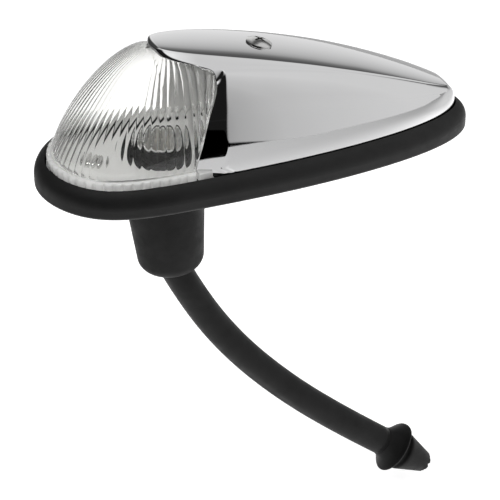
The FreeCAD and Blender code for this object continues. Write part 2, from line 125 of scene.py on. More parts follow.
def crease_s(x):
    return np.interp(x, CS_X, CS_Y)


def crease_z(x):
    m = np.asarray(x, float) / 30.0
    return 50.2 - 6.0 * m - 2.35 * m * (m - 1) / 2.0 - 0.4 * m * (m - 1) * (m - 2) / 6.0


def cove(x):
    t = np.clip((np.asarray(x, float) - 10.0) / 50.0, 0, 1)
    return 2.3 * (1 - t) ** 1.2 + 0.3


def smooth(a, b, x):
    t = np.clip((np.asarray(x, float) - a) / (b - a), 0, 1)
    return t * t * (3 - 2 * t)


# side profile of the lens opening, x as a function of z
OPEN_Z = [4.0, 8.0, 9.5, 10.6, 11.6, 12.6, 14.0, 31.5, 36.0, 39.5, 42.0, 43.2, 44.2, 44.9, 45.5, 46.5, 47.4, 48.1, 48.95, 49.9, 50.6, 52.0]
OPEN_X = [12.0, 11.2, 10.4, 8.0, 5.7, 5.0, 5.5, 11.0, 12.9, 14.2, 14.6, 14.6, 14.2, 13.1, 11.1, 7.15, 3.5, 1.0, -1.36, -2.5, -3.1, -4.2]
# line where the cover starts to turn in towards the lens
ROLL_Z = [0.0, 19.0, 26.0, 32.6, 37.2, 40.6, 42.1, 43.4, 44.5, 45.2, 45.8, 46.9, 47.9, 48.7, 49.6, 50.6, 51.4, 60.0]
ROLL_X = [16.0, 16.0, 16.1, 16.7, 17.2, 17.9, 18.3, 18.5, 18.1, 16.4, 13.0, 8.4, 4.4, 1.6, -0.6, -1.9, -2.6, -6.0]


def open_x(z):
    return mono(OPEN_Z, OPEN_X, z)


# ---------------------------------------------------------------- mesh helpers
def mesh_object(name, verts, faces, smooth_shade=True):
    me = bpy.data.meshes.new(name)
    me.from_pydata([tuple(v) for v in verts], [], faces)
    me.validate()
    if smooth_shade:
        me.polygons.foreach_set("use_smooth", [True] * len(me.polygons))
    me.update()
    ob = bpy.data.objects.new(name, me)
    bpy.context.scene.collection.objects.link(ob)
    return ob


def grid_faces(rows, cols, offset=0, flip=False, wrap_rows=False, wrap_cols=False):
    out = []
    for r in range(rows if wrap_rows else rows - 1):
        r2 = (r + 1) % rows
        for c in range(cols if wrap_cols else cols - 1):
            c2 = (c + 1) % cols
            q = [offset + r * cols + c, offset + r * cols + c2, offset + r2 * cols + c2, offset + r2 * cols + c]
            out.append(tuple(reversed(q)) if flip else tuple(q))
    return out


def grid_normals(p):
    # p: rows x cols x 3
    a = np.gradient(p, axis=0)
    b = np.gradient(p, axis=1)
    n = np.cross(b, a)
    ln = np.linalg.norm(n, axis=2, keepdims=True)
    return n / np.maximum(ln, 1e-12)


def piece(ob, slot, *replaced):
    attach(ob, "root")
    if replaced:
        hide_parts(*replaced)
    return ob


# ---------------------------------------------------------------- materials
def new_mat(name):
    m = bpy.data.materials.new(name)
    m.use_nodes = True
    nt = m.node_tree
    b = nt.nodes["Principled BSDF"]
    return m, nt, b


def node(nt, kind, **props):
    n = nt.nodes.new(kind)
    for k, v in props.items():
        setattr(n, k, v)
    return n


def noise(nt, coord, scale, detail=3.0, rough=0.5):
    n = node(nt, "ShaderNodeTexNoise")
    n.inputs["Scale"].default_value = scale
    n.inputs["Detail"].default_value = detail
    n.inputs["Roughness"].default_value = rough
    nt.links.new(coord, n.inputs["Vector"])
    return n


def ramp(nt, fac, stops):
    r = node(nt, "ShaderNodeValToRGB")
    el = r.color_ramp.elements
    while len(el) < len(stops):
        el.new(0.5)
    for e, (p, c) in zip(el, stops):
        e.position = p
        e.color = (c, c, c, 1) if not isinstance(c, tuple) else (*c, 1)
    nt.links.new(fac, r.inputs["Fac"])
    return r


def rubber(name, dark, light, rough=0.55, grain=0.12, spec=0.42):
    m, nt, b = new_mat(name)
    co = node(nt, "ShaderNodeTexCoord").outputs["Object"]
    big = noise(nt, co, 55.0, 4.0, 0.55)
    col = ramp(nt, big.outputs["Fac"], [(0.3, dark), (0.72, light)])
    nt.links.new(col.outputs["Color"], b.inputs["Base Color"])
    mid = noise(nt, co, 210.0, 3.0, 0.6)
    rr = ramp(nt, mid.outputs["Fac"], [(0.3, rough - 0.07), (0.7, rough + 0.09)])
    nt.links.new(rr.outputs["Color"], b.inputs["Roughness"])
    fine = noise(nt, co, 2600.0, 2.0, 0.6)
    bump = node(nt, "ShaderNodeBump")
    bump.inputs["Strength"].default_value = grain
    bump.inputs["Distance"].default_value = 0.0002
    nt.links.new(fine.outputs["Fac"], bump.inputs["Height"])
    nt.links.new(bump.outputs["Normal"], b.inputs["Normal"])
    b.inputs["Specular IOR Level"].default_value = spec
    return m


def metal(name, colour, rough_lo, rough_hi, scale=40.0, bump_s=0.0, bump_scale=300.0, bump_d=0.00005, metallic=1.0):
    m, nt, b = new_mat(name)
    co = node(nt, "ShaderNodeTexCoord").outputs["Object"]
    n1 = noise(nt, co, scale, 4.0, 0.6)
    rr = ramp(nt, n1.outputs["Fac"], [(0.35, rough_lo), (0.7, rough_hi)])
    nt.links.new(rr.outputs["Color"], b.inputs["Roughness"])
    n2 = noise(nt, co, scale * 0.6, 3.0, 0.5)
    lo = tuple(c * 0.965 for c in colour)
    cc = ramp(nt, n2.outputs["Fac"], [(0.35, lo), (0.65, colour)])
    nt.links.new(cc.outputs["Color"], b.inputs["Base Color"])
    b.inputs["Metallic"].default_value = metallic
    if bump_s:
        n3 = noise(nt, co, bump_scale, 2.0, 0.5)
        bp = node(nt, "ShaderNodeBump")
        bp.inputs["Strength"].default_value = bump_s
        bp.inputs["Distance"].default_value = bump_d
        nt.links.new(n3.outputs["Fac"], bp.inputs["Height"])
        nt.links.new(bp.outputs["Normal"], b.inputs["Normal"])
    return m


def lens_mat():
    m, nt, b = new_mat("clear_lens")
    co = node(nt, "ShaderNodeTexCoord").outputs["Object"]
    n1 = noise(nt, co, 60.0, 3.0, 0.5)
    rr = ramp(nt, n1.outputs["Fac"], [(0.35, 0.0), (0.8, 0.03)])
    nt.links.new(rr.outputs["Color"], b.inputs["Roughness"])
    n2 = noise(nt, co, 25.0, 2.0, 0.5)
    cc = ramp(nt, n2.outputs["Fac"], [(0.3, (0.985, 0.985, 0.97)), (0.7, (1.0, 1.0, 0.99))])
    nt.links.new(cc.outputs["Color"], b.inputs["Base Color"])
    b.inputs["Transmission Weight"].default_value = 1.0
    b.inputs["IOR"].default_value = 1.49
    return m


MAT = {
    "seal": rubber("seal_rubber", 0.009, 0.014, 0.48, 0.10, 0.36),
    "boot": rubber("boot_rubber", 0.013, 0.019, 0.60, 0.12, 0.16),
    "tube": rubber("tube_rubber", 0.012, 0.018, 0.52, 0.18, 0.14),
    "grommet": rubber("grommet_rubber", 0.009, 0.014, 0.50, 0.16, 0.10),
    "gasket": rubber("gasket_rubber", 0.008, 0.012, 0.5, 0.1, 0.33),
    "chrome": metal("chrome_plate", (0.90, 0.90, 0.905), 0.015, 0.045, 30.0, 0.02, 90.0, 0.00004),
    "screw": metal("screw_plate", (0.80, 0.80, 0.79), 0.10, 0.20, 120.0, 0.08, 900.0, 0.00003),
    "lens": lens_mat(),
    "inner": metal("cover_inside", (0.95, 0.95, 0.94), 0.30, 0.42, 80.0, 0.12, 900.0, 0.00006, 0.3),
    "base": metal("base_casting", (0.84, 0.84, 0.83), 0.36, 0.48, 90.0, 0.22, 1400.0, 0.00008, 0.35),
    "zinc": metal("zinc_steel", (0.72, 0.72, 0.71), 0.18, 0.32, 200.0, 0.1, 1200.0, 0.00004),
    "brass": metal("brass", (0.78, 0.62, 0.33), 0.2, 0.34, 200.0, 0.08, 1200.0, 0.00004),
    "socket": metal("socket_metal", (0.94, 0.94, 0.93), 0.22, 0.34, 150.0, 0.06, 800.0, 0.00005, 0.7),
}


def insulator():
    m, nt, b = new_mat("insulator")
    co = node(nt, "ShaderNodeTexCoord").outputs["Object"]
    n1 = noise(nt, co, 400.0, 3.0, 0.6)
    cc = ramp(nt, n1.outputs["Fac"], [(0.3, (0.56, 0.54, 0.50)), (0.7, (0.66, 0.64, 0.60))])
    nt.links.new(cc.outputs["Color"], b.inputs["Base Color"])
    rr = ramp(nt, n1.outputs["Fac"], [(0.3, 0.42), (0.7, 0.55)])
    nt.links.new(rr.outputs["Color"], b.inputs["Roughness"])
    return m


MAT["insulator"] = insulator()


def ground_foot():
    m, nt, b = new_mat("ground_foot")
    co = node(nt, "ShaderNodeTexCoord").outputs["Object"]
    n1 = noise(nt, co, 320.0, 3.0, 0.6)
    cc = ramp(nt, n1.outputs["Fac"], [(0.3, (0.92, 0.92, 0.91)), (0.7, (0.98, 0.98, 0.97))])
    nt.links.new(cc.outputs["Color"], b.inputs["Base Color"])
    rr = ramp(nt, n1.outputs["Fac"], [(0.3, 0.16), (0.7, 0.26)])
    nt.links.new(rr.outputs["Color"], b.inputs["Roughness"])
    b.inputs["Transmission Weight"].default_value = 0.42
    b.inputs["IOR"].default_value = 1.49
    return m


MAT["lens_foot"] = ground_foot()


def dress(name, key):
    ob = nodes[name]
    ob.data.materials.clear()
    ob.data.materials.append(MAT[key])


dress("fender_seal", "seal")
dress("socket_boot", "boot")
dress("base_plate", "base")
dress("mounting_studs", "zinc")
dress("cover_screw", "screw")
dress("screw_pillar", "zinc")
dress("bulb_socket", "socket")
dress("contact_carrier", "insulator")
dress("contact_plunger", "brass")
dress("socket_spring", "zinc")
dress("feed_terminal", "brass")
dress("earth_blade", "brass")


# ---------------------------------------------------------------- chromed cover
def build_cover():
    wid = width_of(COVER_INSET)
    n_side, n_cove, n_top, n_col = 44, 16, 41, 190
    x_end = COVER_TAIL

    def section(x, part, v):
        wb = wid(x)
        s = np.minimum(np.maximum(crease_s(x), 0.05), 0.62 * wb)
        zc = crease_z(x) - tail_drop(x)
        kd = cove(x)
        crown = (DOME - 0.08) * np.minimum(1.0, s / 12.0)
        ky = np.minimum(s + 1.4 * kd, s + 0.5 * np.maximum(wb - s, 0.05))
        kz = zc - kd
        h = kz - BASE_TOP
        if part == "side":
            a, b, c, d = (1 - v) ** 3, 3 * v * (1 - v) ** 2, 3 * v * v * (1 - v), v ** 3
            return (a * wb + b * wb + c * (ky + 0.60 * (wb - ky)) + d * ky,
                    a * BASE_TOP + b * (BASE_TOP + 0.58 * h) + c * (kz - 0.06 * h) + d * kz)
        if part == "cove":
            a, b, c = (1 - v) ** 2, 2 * v * (1 - v), v * v
            return a * ky + b * (s + 0.5 * (ky - s)) + c * s, a * kz + b * (kz + 0.44 * kd) + c * zc
        a, b, c, d = (1 - v) ** 3, 3 * v * (1 - v) ** 2, 3 * v * v * (1 - v), v ** 3
        return a * s + b * 0.45 * s - c * 0.45 * s - d * s, a * zc + (b + c) * (zc + crown * 1.333) + d * zc

    lines = [("side", v) for v in np.linspace(0, 1, n_side)]
    lines += [("cove", v) for v in np.linspace(0, 1, n_cove)[1:]]
    xs = np.linspace(-4.45, x_end, 6000)
    tau = np.linspace(0, 1, n_col)
    g = 0.45 * tau + 0.55 * (0.5 - 0.5 * np.cos(math.pi * tau))
    half = []
    x0 = -4.4
    for part, v in lines:
        y, z = section(xs, part, v)
        inside = np.nonzero(xs < open_x(z))[0]
        x0 = xs[inside[-1]] if len(inside) else xs[0]
        x = x0 + (x_end - x0) * g
        y, z = section(x, part, v)
        half.append(np.stack([x, -y, z], 1))
    top = []
    for v in np.linspace(0, 1, n_top)[1:-1]:
        tip = x0 - 0.8 * (1 - (2 * v - 1) ** 2)
        x = tip + (x_end - tip) * g
        y, z = section(x, "top", v)
        top.append(np.stack([x, -y, z], 1))
    far = [r * np.array([1, -1, 1]) for r in reversed(half)]
    p = np.array(half + top + far)
    n = grid_normals(p)
    mid = len(p) // 2
    if n[mid, n_col // 2, 2] < 0:
        n = -n
    # the turned-in border round the lens opening
    zs = np.linspace(0, 60, 700)
    line = np.stack([mono(ROLL_Z, ROLL_X, zs), zs], 1)
    q = p[..., [0, 2]].reshape(-1, 2)
    dist = np.full(len(q), 99.0)
    near = q[:, 0] < 24
    dd = np.sqrt(((q[near][:, None, :] - line[None]) ** 2).sum(2)).min(1)
    dist[near] = dd
    inside = (q[:, 0] < mono(ROLL_Z, ROLL_X, np.clip(q[:, 1], 0, 60))) & near
    d = np.where(inside, dist, 0.0).reshape(p.shape[:2])
    # it turns in further round its upper corner
    turn, rad = np.radians(13 + 15 * smooth(39.5, 43.0, p[..., 2]) * (1 - smooth(45.2, 46.4, p[..., 2]))), 2.4
    lim = rad * np.sin(turn)
    drop = np.where(d < lim, rad - np.sqrt(np.maximum(rad * rad - np.minimum(d, lim) ** 2, 0)),
                    rad * (1 - np.cos(turn)) + (d - lim) * np.tan(turn))
    zone = np.zeros(p.shape[:2])
    zone[:n_side + n_cove - 1] = 1
    zone[-(n_side + n_cove - 1):] = 1
    k = n_side + n_cove - 1
    fade = np.clip((np.arange(k)[::-1]) / 6.0, 0, 1)
    zone[:k] *= fade[:, None]
    zone[-k:] *= fade[::-1][:, None]
    p = p - n * (drop * zone)[..., None]
    # the brow's front edge is rounded over
    share = np.zeros(len(p))
    share[k - 1:len(p) - (k - 1)] = 1
    share[n_side - 1:k] = np.linspace(0, 1, n_cove)
    share[len(p) - k:len(p) - n_side + 1] = np.linspace(1, 0, n_cove)
    dx = p[:, :, 0] - p[:, :1, 0]
    rr = 2.2
    curl = np.where(dx < rr, rr - np.sqrt(np.maximum(rr * rr - (rr - np.minimum(dx, rr)) ** 2, 0)), 0.0)
    p[:, :, 2] -= curl * 0.8 * share[:, None]
    rows, cols = p.shape[:2]
    # narrow end face over the tail
    last = [r * cols + cols - 1 for r in range(rows)]
    cap = [(last[r + 1], last[r], last[rows - 1 - r], last[rows - 2 - r]) for r in range(rows // 2 - 1)]
    r = rows // 2 - 1
    cap.append((last[r + 1], last[r], last[rows - 1 - r]))
    ob = mesh_object("chrome_cover_skin", p.reshape(-1, 3) * MM, grid_faces(rows, cols) + cap)
    sol = ob.modifiers.new("wall", "SOLIDIFY")
    sol.thickness = 1.3 * MM
    sol.offset = -1
    sol.use_even_offset = False
    sol.material_offset = 1
    sol.material_offset_rim = 0
    return ob, p


cover, cover_pts = build_cover()
cover.data.materials.append(MAT["chrome"])
cover.data.materials.append(MAT["inner"])


def face_outward(ob, probe):
    # the polygon nearest to the probe's tip points along the probe
    me = ob.data
    best = max(me.polygons, key=lambda f: f.center.dot(Vector(probe)))
    if best.normal.dot(Vector(probe)) < 0:
        me.flip_normals()
        me.update()


face_outward(cover, (0, 0, 1))
piece(cover, "chrome_plate", "chrome_cover")


# ---------------------------------------------------------------- clear fluted lens
def build_lens():
    bx, by = inset_half(LENS_INSET)
    wid = width_of(LENS_INSET)
    xn = bx[0]
    ztop = float(crease_z(LENS_TOP_X)) - 1.2

    def crown_of(x):
        x = np.asarray(x, float)
        zt_n = LENS_FOOT + (ztop - LENS_FOOT) * np.maximum(0, 1 - (np.maximum(LENS_TOP_X - x, 0) / (LENS_TOP_X - xn)) ** LENS_A) ** (1 / LENS_B)
        r = np.clip((x - LENS_TOP_X) / 6.0, 0, 1)
        zt_r = crease_z(x) - 1.2 - 1.0 * r * r * (3 - 2 * r)
        s = np.where(x < LENS_TOP_X, 0.0, np.maximum(crease_s(x) - 0.9, 0) * smooth(LENS_TOP_X, 4.0, x))
        return np.where(x < LENS_TOP_X, zt_n, zt_r), s

    def half_width(x, z):
        zt, s = crown_of(x)
        k = np.clip((z - LENS_FOOT) / np.maximum(zt - LENS_FOOT, 1e-6), 0, 1)
        wb = wid(x)
        return s + np.maximum(wb - s, 0) * (1 - k ** LENS_Q) ** (1 / LENS_P)

    def height(x, y):
        # the same surface, solved for z
        zt, s = crown_of(x)
        q = np.clip((y - s) / np.maximum(wid(x) - s, 1e-6), 0, 1)
        return LENS_FOOT + (zt - LENS_FOOT) * (1 - q ** LENS_P) ** (1 / LENS_Q)

    per = 9
    # the flutes start along the foot, and past its rear end along the rear edge
    rear_b = 4.9
    i_end = np.searchsorted(bx, rear_b)
    arc = np.concatenate([[0], np.cumsum(np.hypot(np.diff(bx[:i_end]), np.diff(by[:i_end])))])
    n_foot = int(round(arc[-1] / FLUTE)) * per
    a = arc[-1] * np.arange(n_foot + 1) / n_foot
    foot = np.stack([np.interp(a, arc, bx[:i_end]), np.full(len(a), LENS_FOOT)], 1)
    zr = np.linspace(LENS_FOOT, 37.5, 400)
    xr = np.where(zr < 14.0, 4.9 + (5.45 - 4.9) * (zr - LENS_FOOT) / 2.5, open_x(zr) - 0.05)
    er = xr - LEAN * (zr - LENS_FOOT) / 36.0
    n_rear = int(round((er[-1] - er[0]) / FLUTE * per))
    e = er[0] + (er[-1] - er[0]) * np.arange(1, n_rear + 1) / n_rear
    base = np.concatenate([foot, np.stack([np.interp(e, er, xr), np.interp(e, er, zr)], 1)])
    start = np.concatenate([foot[:, 0], e])
    half_cols = n_foot + n_rear
    k = np.arange(half_cols + 1)
    u = k / half_cols
    # upper border, tucked under the brow: from the tip to the rear corner
    ez = np.linspace(ztop, 42.6, 600)
    ex = mono(OPEN_Z, OPEN_X, ez - 0.1) - 0.05 + 1.05 * smooth(44.0, 45.6, ez)
    ex[0] = LENS_TOP_X
    ex = np.where(np.arange(600) < 40, LENS_TOP_X + (ex[40] - LENS_TOP_X) * np.arange(600) / 40.0, ex)
    ex = np.maximum.accumulate(ex + 1e-5 * np.arange(600))
    ey = half_width(ex, ez)
    ey[0] = 0.0
    el = np.concatenate([[0], np.cumsum(np.sqrt(np.diff(ex) ** 2 + np.diff(ey) ** 2 + np.diff(ez) ** 2))])
    stops = [0.0, float(np.interp(-9.0, start, u)), n_foot / half_cols, 1.0]
    reach = [0.0] + [float(np.interp(q, ex, el)) for q in (0.6, 6.2)] + [el[-1]]
    xt = np.interp(mono(stops, reach, u), el, ex)
    edge = np.stack([xt, np.interp(xt, ex, ez)], 1)
    rows = 64
    s = np.linspace(0, 1, rows)
    # each flute runs along a straight line in plan, from its start to the upper border
    y_b, y_t = half_width(base[:, 0], base[:, 1]), half_width(edge[:, 0], edge[:, 1])
    y_b[0] = y_t[0] = 0.0
    way = 1 - np.cos(np.linspace(0, math.pi / 2, 500)) ** 0.6
    X, Y, Z = (np.zeros((rows, len(k))) for _ in range(3))
    for c in range(len(k)):
        lx = base[c, 0] + (edge[c, 0] - base[c, 0]) * way
        ly = y_b[c] + (y_t[c] - y_b[c]) * way
        lz = height(lx, ly)
        lz[0], lz[-1] = base[c, 1], edge[c, 1]
        run = np.concatenate([[0], np.cumsum(np.sqrt(np.diff(lx) ** 2 + np.diff(ly) ** 2 + np.diff(lz) ** 2))])
        X[:, c], Y[:, c], Z[:, c] = (np.interp(s * run[-1], run, q) for q in (lx, ly, lz))
    Y[:, 0] = 0.0
    # near half (y < 0) from the rear to the nose, then the far half
    near = np.stack([X, -Y, Z], 2)[:, ::-1]
    far = np.stack([X, Y, Z], 2)[:, 1:]
    outer = np.concatenate([near, far], 1)
    n = grid_normals(outer)
    if n[rows // 2, 10, 1] > 0:
        n = -n
    phase = np.concatenate([k[::-1], k[1:]]) / per
    frac = np.abs(2 * (phase % 1.0) - 1)                   # 1 on a cusp, 0 in the middle of a flute
    space = np.linalg.norm(np.diff(outer, axis=1), axis=2)
    space = np.concatenate([space, space[:, -1:]], 1) * per  # local flute width
    depth = (0.074 + 0.046 * smooth(-14.0, 4.0, outer[..., 0])) * space * np.clip(space / FLUTE, 0.75, 1.0)
    wall = 1.9 + depth * frac[None, :] ** 2
    inner = outer - n * wall[..., None]
    # keep the mid-plane column clean
    c0 = half_cols
    inner[:, c0, 1] = 0.0
    # foot flange below the wall
    t = np.interp(a, arc, T_DENSE[:i_end])

    def at(d):
        px, py = inset_half(d)
        return np.stack([np.interp(t, T_DENSE, px), np.interp(t, T_DENSE, py)], 1)

    def mirror(half):
        return np.concatenate([half[::-1] * np.array([1, -1, 1]), half[1:]])
    foot_out, lip_out, lip_in = at(LENS_INSET), at(COVER_INSET + 0.35), at(9.0)
    nfo = lip_out - foot_out
    nfo = nfo / np.maximum(np.linalg.norm(nfo, axis=1, keepdims=True), 1e-9)
    tick = np.clip((frac[c0:c0 + n_foot + 1] - 0.55) / 0.45, 0, 1)[:, None] * nfo * 0.85
    prof = [(foot_out + nfo * 0.35, LENS_FOOT - 0.02), (lip_out - tick - nfo * 0.3, LENS_FOOT - 0.05), (lip_out - tick - nfo * 0.05, LENS_FOOT - 0.3), (lip_out - tick, LENS_FOOT - 0.8),
            (lip_out - tick, 8.9), (lip_out - tick - nfo * 0.3, 8.32), (lip_in + nfo * 0.2, 8.32), (lip_in, 8.6), (lip_in, LENS_FOOT - 0.9)]
    flange = []
    for i, (xy, z) in enumerate(prof):
        f = (i + 1) / (len(prof) + 1)
        rear_face = (1 - f) * outer[0, c0 + n_foot + 1:] + f * inner[0, c0 + n_foot + 1:]
        flange.append(mirror(np.concatenate([np.concatenate([xy, np.full((len(xy), 1), z)], 1), rear_face])))
    loop = [outer[i] for i in range(rows - 1, -1, -1)] + flange + [inner[i] for i in range(1, rows)]
    p = np.array(loop)
    R, C = p.shape[:2]
    faces = grid_faces(R, C, wrap_rows=True)
    faces.append(tuple(range(0, R * C, C)))
    faces.append(tuple(reversed(range(C - 1, R * C, C))))
    ob = mesh_object("fluted_lens", p.reshape(-1, 3) * MM, faces)
    ob.data.materials.append(MAT["lens"])
    ob.data.materials.append(MAT["lens_foot"])
    # the foot flange and the rear edge are ground
    for f in ob.data.polygons:
        r = f.index // (C - 1)
        if rows - 1 <= r <= rows + len(prof) - 2 or f.index >= R * (C - 1):
            f.material_index = 1
    return ob


def build_foot_end():
    # the flange runs on a little way behind the cover's lower corner, on both sides
    px, py = inset_half(LENS_INSET)
    t = np.linspace(np.interp(5.63, px[:4000], T_DENSE[:4000]), np.interp(10.35, px[:4000], T_DENSE[:4000]), 16)
    prof = [(4.95, 11.45), (4.72, 11.2), (4.7, 10.7), (4.7, 8.9), (5.0, 8.32), (8.8, 8.32), (9.0, 8.6), (9.0, 10.6), (8.4, 11.4)]
    rings = []
    for d, z in prof:
        qx, qy = inset_half(d)
        rings.append(np.stack([np.interp(t, T_DENSE, qx), np.interp(t, T_DENSE, qy), np.full(len(t), z)], 1))
    p = np.array(rings)
    R, C = p.shape[:2]
    faces = grid_faces(R, C, wrap_rows=True) + [tuple(range(0, R * C, C)), tuple(reversed(range(C - 1, R * C, C)))]
    both = faces + [tuple(R * C + i for i in reversed(f)) for f in faces]
    v = np.concatenate([p.reshape(-1, 3), p.reshape(-1, 3) * np.array([1, -1, 1])])
    ob = mesh_object("lens_foot_ends", v * MM, both, False)
    face_outward(ob, (0, 0, 1))
    ob.data.materials.append(MAT["lens_foot"])
    ob.visible_shadow = False
    piece(ob, "clear_lens")


build_foot_end()


def build_gasket():
    # flat rubber strip under the flange, with a thin inner lip that is widest beside the nose
    t = np.linspace(0, np.interp(10.3, HX[:4000], T_DENSE[:4000]), 120)
    gx = np.interp(t, T_DENSE, HX)
    wide = 0.35 + 2.5 * smooth(-37, -27, gx) * (1 - smooth(-16, 2, gx))
    prof = [(5.1, 7.53), (5.0, 8.25), (9.1, 8.25), (None, 7.95), (None, 7.53)]
    rings = []
    for d, z in prof:
        dd = np.full(len(t), d) if d is not None else 9.2 + wide
        x = np.interp(t, T_DENSE, HX) + np.interp(t, T_DENSE, TY) * dd
        y = np.interp(t, T_DENSE, HY) - np.interp(t, T_DENSE, TX) * dd
        half = np.stack([x, y, np.full(len(t), z)], 1)
        half[0, 1] = 0.0
        rings.append(np.concatenate([half[::-1] * np.array([1, -1, 1]), half[1:]]))
    p = np.array(rings)
    R, C = p.shape[:2]
    faces = grid_faces(R, C, wrap_rows=True) + [tuple(range(0, R * C, C)), tuple(reversed(range(C - 1, R * C, C)))]
    ob = mesh_object("lens_gasket_strip", p.reshape(-1, 3) * MM, faces, False)
    face_outward(ob, (0, 0, 1))
    ob.data.materials.append(MAT["gasket"])
    piece(ob, "seal_rubber", "lens_gasket")


build_gasket()

lens = build_lens()
face_outward(lens, (-1, 0, 0))
piece(lens, "clear_lens", "lens")
lens.visible_shadow = False


# ---------------------------------------------------------------- wire tube (free cord)
def route_points():
    cu = bpy.data.curves.new("route", "CURVE")
    cu.dimensions = "3D"
    sp = cu.splines.new("NURBS")
    sp.points.add(len(ROUTE) - 1)
    for pt, c in zip(sp.points, ROUTE):
        pt.co = (*c, 1)
    sp.order_u = 3
    sp.use_endpoint_u = True
    sp.resolution_u = 16
    ob = bpy.data.objects.new("route", cu)
    bpy.context.scene.collection.objects.link(ob)
    me = bpy.data.meshes.new_from_object(ob)
    pts = np.array([tuple(v.co) for v in me.vertices])
    bpy.data.objects.remove(ob)
    bpy.data.curves.remove(cu)
    bpy.data.meshes.remove(me)
    return pts


PATH = route_points()


def build_tube():
    p = PATH / MM
    t = np.gradient(p, axis=0)
    t = t / np.linalg.norm(t, axis=1, keepdims=True)
    side = np.array([0.0, 1.0, 0.0])
    up = np.cross(t, side)
    d = np.concatenate([[0], np.cumsum(np.linalg.norm(np.diff(p, axis=0), axis=1))])
    n = 56
    ang = np.linspace(0, 2 * math.pi, n, endpoint=False)
    rings = []
    for i in range(len(p)):
        f = d[i] / d[-1]
        # soft fold along the inside of the bend
        fold = 0.34 * math.exp(-((f - 0.56) / 0.16) ** 2)
        r = TUBE_R - fold * np.exp(-((ang - 3.9) / 0.30) ** 2) + 0.16 * fold * np.cos(2 * (ang - 0.6))
        r = np.minimum(r, TUBE_R)
        rings.append(p[i] + r[:, None] * (np.cos(ang)[:, None] * side + np.sin(ang)[:, None] * up[i]))
    inner = [p[i] + TUBE_IR * (np.cos(ang)[:, None] * side + np.sin(ang)[:, None] * up[i]) for i in range(len(p))]
    loop = rings + inner[::-1]
    v = np.array(loop)
    ob = mesh_object("wire_tube_skin", v.reshape(-1, 3) * MM, grid_faces(v.shape[0], n, wrap_rows=True, wrap_cols=True))
    return ob


tube = build_tube()
tube.data.materials.append(MAT["tube"])
piece(tube, "tube_rubber", "wire_tube")


# ---------------------------------------------------------------- grommet
def build_grommet():
    e = np.array(ROUTE[-1]) / MM
    d = np.array(ROUTE[-1]) - np.array(ROUTE[-2])
    d = d / np.linalg.norm(d)
    side = np.array([0.0, 1.0, 0.0])
    up = np.cross(side, d)
    up = up if up[2] > 0 else -up
    n = 96
    ang = np.linspace(0, 2 * math.pi, n, endpoint=False)
    # (radius, distance along the axis, share of the rim's bend, share of the ragged tip)
    prof = [(3.6, 0.0, 0, 0), (5.45, 0.0, 0, 0), (5.6, 0.25, 0, 0), (5.75, 1.2, 0, 0), (6.05, 2.2, 0, 0), (6.5, 3.3, .05, 0), (7.15, 4.4, .12, 0), (8.1, 5.5, .3, 0),
            (9.2, 6.4, .6, 0), (10.0, 6.95, .85, 0), (10.35, 7.3, 1, 0), (10.4, 7.6, 1, 0), (10.25, 7.95, 1, 0), (9.6, 7.98, .9, 0), (8.2, 8.05, .4, 0), (7.1, 8.2, .1, 0),
            (6.9, 8.5, 0, 0), (6.85, 9.3, 0, 0), (6.95, 9.9, 0, 0), (7.3, 10.2, 0, 0), (7.75, 10.45, 0, 0), (7.9, 10.8, 0, 0), (7.85, 11.5, 0, 0), (7.55, 12.6, 0, 0),
            (6.7, 15.6, 0, 0), (5.85, 18.7, 0, .1), (5.0, 21.8, 0, .3), (4.35, 24.2, 0, .75), (4.05, 25.2, 0, 1), (3.75, 25.45, 0, 1), (3.2, 25.2, 0, 1), (2.9, 24.4, 0, .8),
            (3.0, 20.0, 0, 0), (3.1, 12.0, 0, 0)]
    rag = 0.32 * np.sin(7 * ang + 0.6) + 0.22 * np.sin(11 * ang + 2.0) + 0.16 * np.sin(17 * ang + 4.1)
    rings = []
    for r, h, bend, tip in prof:
        # the flared rim is bent forward a little at the top
        hh = h + bend * (0.75 * np.exp(-((ang - math.pi / 2) / 0.55) ** 2) + 0.20 * r * np.cos(ang)) - tip * (0.45 + rag * 0.75)
        hh = np.minimum(hh, 25.45)
        rr = r - bend * 0.25 * np.exp(-((ang - math.pi / 2) / 0.5) ** 2)
        rings.append(e + rr[:, None] * (np.cos(ang)[:, None] * side + np.sin(ang)[:, None] * up) + hh[:, None] * d)
    v = np.array(rings)
    return mesh_object("grommet_body", v.reshape(-1, 3) * MM, grid_faces(v.shape[0], n, wrap_rows=True, wrap_cols=True))


grommet = build_grommet()
grommet.data.materials.append(MAT["grommet"])
piece(grommet, "grommet_rubber", "end_grommet")


